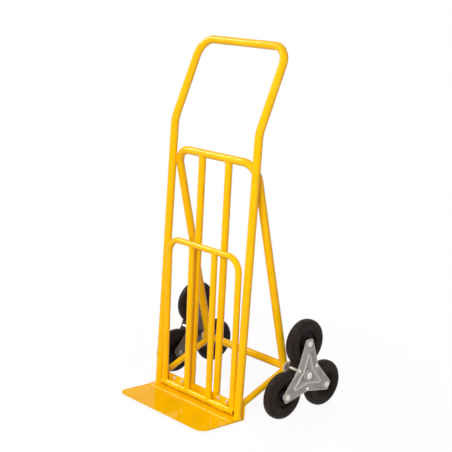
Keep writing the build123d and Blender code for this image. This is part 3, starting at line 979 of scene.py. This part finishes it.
def buildStar(sideName, side):
    body = "star_" + sideName
    centre = Vector((truck["starPlane"] * side, axleY, axleZ)) * mm
    outward = acrossX * side
    buildSpider("outerSpider." + sideName, "outer_spider_" + sideName, body, centre, side, castGrey)
    # the inner spiders take the cast written darker, painted shade
    buildSpider("innerSpider." + sideName, "inner_spider_" + sideName, body, centre, -side, shadedInnerCast)
    bolts = bmesh.new()
    nuts = bmesh.new()
    ties = bmesh.new()
    seat = starFace + spider["bossHigh"]
    shank = wheelBolt["shank"]
    for angle in armTurns.values():
        armCentre = centre + starSpot(starRadius, angle) * mm
        seats = (armCentre + outward * seat * mm, armCentre - outward * seat * mm)
        addBolt(bolts, nuts, wheelBolt, *seats, outward)
        addTurned(bolts, armCentre, outward, [(-seat, shank), (seat, shank)])
        addTieRod(ties, centre + starSpot(tieRod["reach"], angle + 60) * mm, outward)
    makePiece("wheelBoltSet." + sideName, bolts, brightZinc, body, ["wheel_bolts_" + sideName])
    # the nuts take the zinc written darker, painted shade
    makePiece("wheelNutSet." + sideName, nuts, shadedZinc, body, ["wheel_nuts_" + sideName])
    makePiece("tieRodSet." + sideName, ties, brightZinc, body, ["tie_rods_" + sideName])
    buildHubSleeve(sideName, side, body, centre)


# wheels: ribbed solid tyre on a dished black centre
wheel = {"hub": 17.5, "halfHub": 20.0, "bore": 8.1, "web": 6.0, "around": 96, "sharp": 45}
tyre = {"around": 120, "sharp": 60}
# tyre half section from rim to crown: sideways, radius, and how much dust and painted highlight it shows
tyreSide = [
    (15.8, 47.1, 0), (16.6, 48.6, 0), (17.4, 50.4, 0.1), (17.7, 52.4, 0.2), (17.7, 55.8, 0.2),  # bead
    (17.0, 56.9, 0), (17.0, 57.9, 0), (18.2, 59.2, 0.15), (18.8, 61.2, 0.35), (19.0, 64.0, 0.4),  # wall
    (18.85, 67.0, 0.3), (18.2, 70.2, 0.2), (17.0, 73.0, 0.2), (15.2, 75.6, 0.3), (13.2, 77.6, 0.7),
    (11.9, 78.6, 0.9), (11.4, 76.6, 0), (10.3, 76.8, 0), (9.8, 79.5, 0.9), (8.0, 80.2, 1),  # outer groove
    (5.5, 80.7, 0.9), (5.0, 78.4, 0), (3.8, 78.5, 0), (3.3, 80.9, 0.9), (1.5, 81.0, 1),  # inner groove
]


def buildWheel(sideName, side, spotName):
    body = "wheel_" + sideName + "_" + spotName
    tag = spotName + "." + sideName
    node = spotName + "_" + sideName
    starCentre = Vector((truck["starPlane"] * side, axleY, axleZ)) * mm
    centre = starCentre + starSpot(starRadius, armTurns[spotName]) * mm
    bm = bmesh.new()
    addLathe(bm, bothEnds(tyreSide), centre, side, tyre["around"])
    makePiece("tyreRing." + tag, bm, tyreRubber, body, ["tyre_" + node], 0, tyre["sharp"])
    web = wheel["web"]
    hub = wheel["hub"]
    end = wheel["halfHub"]
    half = [(end, wheel["bore"]), (end, hub - 1.0), (end - 0.7, hub), (web + 2.5, hub + 1.2), (web, hub + 4),
            (web, 29.0), (web + 0.9, 30.0), (web + 0.9, 32.0), (web, 33.0), (web, 35.6), (web + 2.0, 38.6),
            (14.6, 41.0), (15.8, 42.0), (16.0, 43.2), (16.0, 46.2), (15.6, 47.0)]
    bm = bmesh.new()
    addLathe(bm, bothEnds(half), centre, side, wheel["around"])
    nodes = ["wheel_centre_" + node]
    makePiece("wheelCentre." + tag, bm, wheelBlack, body, nodes, 0, wheel["sharp"])


for sideName, side in bothSides:
    buildStar(sideName, side)
    for spotName in armTurns:
        buildWheel(sideName, side, spotName)
print("stars and wheels built")

# axle ends: washers against the beam, spacers and the domed caps
axleEnd = {"washer": 20.0, "washerThick": 2.5, "spacer": 11.6, "cap": 13.0, "capHigh": 5.0, "play": 0.3,
           "bore": 10.1, "around": 56, "capAround": 48}


def buildAxleEnd(sideName, side):
    bore = axleEnd["bore"]
    axleCentre = Vector((0, axleY, axleZ)) * mm
    starEnd = starFace + spider["sleeveProud"] + axleEnd["play"]
    washer = axleEnd["washer"]
    start = axleBeam["end"]
    end = start + axleEnd["washerThick"]
    profile = [(start, bore), (start, washer - 0.5), (start + 0.5, washer), (end - 0.5, washer),
               (end, washer - 0.6), (end, bore + 2.5), (end - 0.3, bore)]
    bm = bmesh.new()
    addLathe(bm, profile, leanPoint(0, axleU, axleW), side, axleEnd["around"])
    makePiece("axleWasher." + sideName, bm, washerZinc, "frame", ["axle_washer_" + sideName])
    spacer = axleEnd["spacer"]
    near = end + truck["aside"] * side
    far = truck["starPlane"] - starEnd
    profile = [(near, bore), (near, spacer - 0.3), (near + 0.4, spacer), (far - 0.4, spacer),
               (far, spacer - 0.3), (far, bore)]
    bm = bmesh.new()
    addLathe(bm, profile, axleCentre, side, axleEnd["around"])
    nodes = ["axle_spacer_" + sideName]
    makePiece("axleSpacer." + sideName, bm, turnedSteel, "frame", nodes)
    cap = axleEnd["cap"]
    low = truck["starPlane"] + starEnd
    high = low + axleEnd["capHigh"]
    profile = [(low, bore), (low, cap - 0.5), (low + 0.5, cap), (low + 1.6, cap), (low + 2.6, cap - 0.6),
               (low + 3.7, cap - 2.2), (low + 4.5, cap - 4.6), (high - 0.1, cap - 7.4), (high, cap - 9.5),
               (high, 0)]
    bm = bmesh.new()
    addLathe(bm, profile, axleCentre, side, axleEnd["capAround"], False)
    makePiece("axleCap." + sideName, bm, brightZinc, "frame", ["axle_cap_" + sideName])


for sideName, side in bothSides:
    buildAxleEnd(sideName, side)
print("axle ends built")

# pale floor, soft lights and the camera
studio = {
    "world": 0.36,
    "ambient": (1.0, 0.5, 0.24),
    "bounce": (0.34, 0.28, 0.22),
    "paper": (1.0, 1.0, 1.0),
    "floorReach": 14,
    "shadowShare": 0.08,
    "fadeNear": 0.5,
    "fadeFar": 1.3,
}


def seenRays(tree):  # what the camera, metal and glass look at
    rays = addNode(tree, "LightPath", {}).outputs
    total = rays["Is Camera Ray"]
    for name in ("Is Glossy Ray", "Is Transmission Ray"):
        total = addNode(tree, "Math", {0: total, 1: rays[name]}, operation="MAXIMUM").outputs[0]
    return total


def mixShaders(tree, share, first, second):
    return addNode(tree, "MixShader", {0: share, 1: first, 2: second}).outputs[0]


def makeStudioPaper():
    finish = bpy.data.materials.new("studioPaper")
    finish.use_nodes = True
    tree = finish.node_tree
    tree.nodes.clear()
    bounce = addNode(tree, "BsdfDiffuse", {"Color": (*studio["bounce"], 1)}).outputs[0]
    paper = addNode(tree, "BsdfDiffuse", {"Color": (*studio["paper"], 1)}).outputs[0]
    glow = addNode(tree, "Emission", {"Color": (*studio["paper"], 1)}).outputs[0]
    # the shadow shows only close to the truck, then the paper runs out to white
    place = addNode(tree, "TexCoord", {}).outputs["Object"]
    away = addNode(tree, "VectorMath", {0: place}, operation="LENGTH").outputs["Value"]
    fade = rangeOf(tree, away, 1 - studio["shadowShare"], 1, studio["fadeNear"], studio["fadeFar"])
    # the camera looks through the white, so a wheel that a turned star swings below it still shows
    seen = addNode(tree, "LightPath", {}).outputs["Is Camera Ray"]
    white = mixShaders(tree, seen, glow, addNode(tree, "BsdfTransparent", {}).outputs[0])
    seenPaper = mixShaders(tree, fade, paper, white)
    addNode(tree, "OutputMaterial", {"Surface": mixShaders(tree, seenRays(tree), bounce, seenPaper)})
    return finish


def buildFloor():
    reach = studio["floorReach"]
    corners = [(-reach, -reach, 0), (reach, -reach, 0), (reach, reach, 0), (-reach, reach, 0)]
    mesh = bpy.data.meshes.new("studioFloor")
    mesh.from_pydata(corners, [], [(0, 1, 2, 3)])
    floor = bpy.data.objects.new("studioFloor", mesh)
    scene.collection.objects.link(floor)
    mesh.materials.append(makeStudioPaper())


def buildWorld():
    world = bpy.data.worlds.new("studioWorld")
    scene.world = world
    world.use_nodes = True
    tree = world.node_tree
    tree.nodes.clear()
    room = addNode(tree, "Background", {"Color": (*studio["ambient"], 1), "Strength": studio["world"]})
    paper = addNode(tree, "Background", {"Color": (*studio["paper"], 1)})
    mix = mixShaders(tree, seenRays(tree), room.outputs[0], paper.outputs[0])
    addNode(tree, "OutputWorld", {"Surface": mix})


# aim is a height over the middle, and the two lamps without shine stay out of the shiny sheet
lamps = {
    "keySoft": {"place": (1.7, -2.95, 1.8), "aim": 0.45, "size": (1.6, 1.6), "power": 106, "shine": False},
    "backSoft": {"place": (-1.7, 3.0, 2.3), "aim": 0.5, "size": (2.0, 2.0), "power": 42, "shine": False},
    "sideSoft": {"place": (3.4, -0.5, 2.1), "aim": 0.5, "size": (1.3, 2.0), "power": 18, "shine": True},
    "topSoft": {"place": (-3.7, -1.8, 3.6), "aim": 0.4, "size": (1.25, 1.25), "power": 116, "shine": True},
}


def addLamp(name, look):
    lamp = bpy.data.lights.new(name, "AREA")
    lamp.shape = "RECTANGLE"
    lamp.size, lamp.size_y = look["size"]
    lamp.energy = look["power"]
    holder = bpy.data.objects.new(name, lamp)
    scene.collection.objects.link(holder)
    holder.location = look["place"]
    aim = Vector((0, 0, look["aim"])) - Vector(look["place"])
    holder.rotation_euler = aim.to_track_quat("-Z", "Y").to_euler()
    holder.visible_glossy = look["shine"]


# camera worked out from the tube lines in the photograph
camera = {"place": (2.57953, -2.46209, 1.4744), "yaw": 46.45, "pitch": 13.57, "roll": 2.01, "lens": 85.475,
          "sensor": 36.0, "clipEnd": 60}


def buildCamera():
    yaw, pitch, roll = (radians(camera[part]) for part in ("yaw", "pitch", "roll"))
    forward = Vector((-sin(yaw) * cos(pitch), cos(yaw) * cos(pitch), -sin(pitch)))
    right = Vector((cos(yaw), sin(yaw), 0))
    upward = right.cross(forward)
    rolledRight = right * cos(roll) + upward * sin(roll)
    rolledUp = upward * cos(roll) - right * sin(roll)
    lens = bpy.data.cameras.new("photoCamera")
    lens.sensor_width = camera["sensor"]
    lens.lens = camera["lens"]
    lens.clip_end = camera["clipEnd"]
    holder = bpy.data.objects.new("photoCamera", lens)
    scene.collection.objects.link(holder)
    axes = Matrix((rolledRight, rolledUp, -forward)).transposed()
    holder.matrix_world = Matrix.Translation(camera["place"]) @ axes.to_4x4()
    scene.camera = holder


buildFloor()
buildWorld()
for lampName, lampLook in lamps.items():
    addLamp(lampName, lampLook)
buildCamera()
scene.view_settings.view_transform = "Standard"
print("studio set")
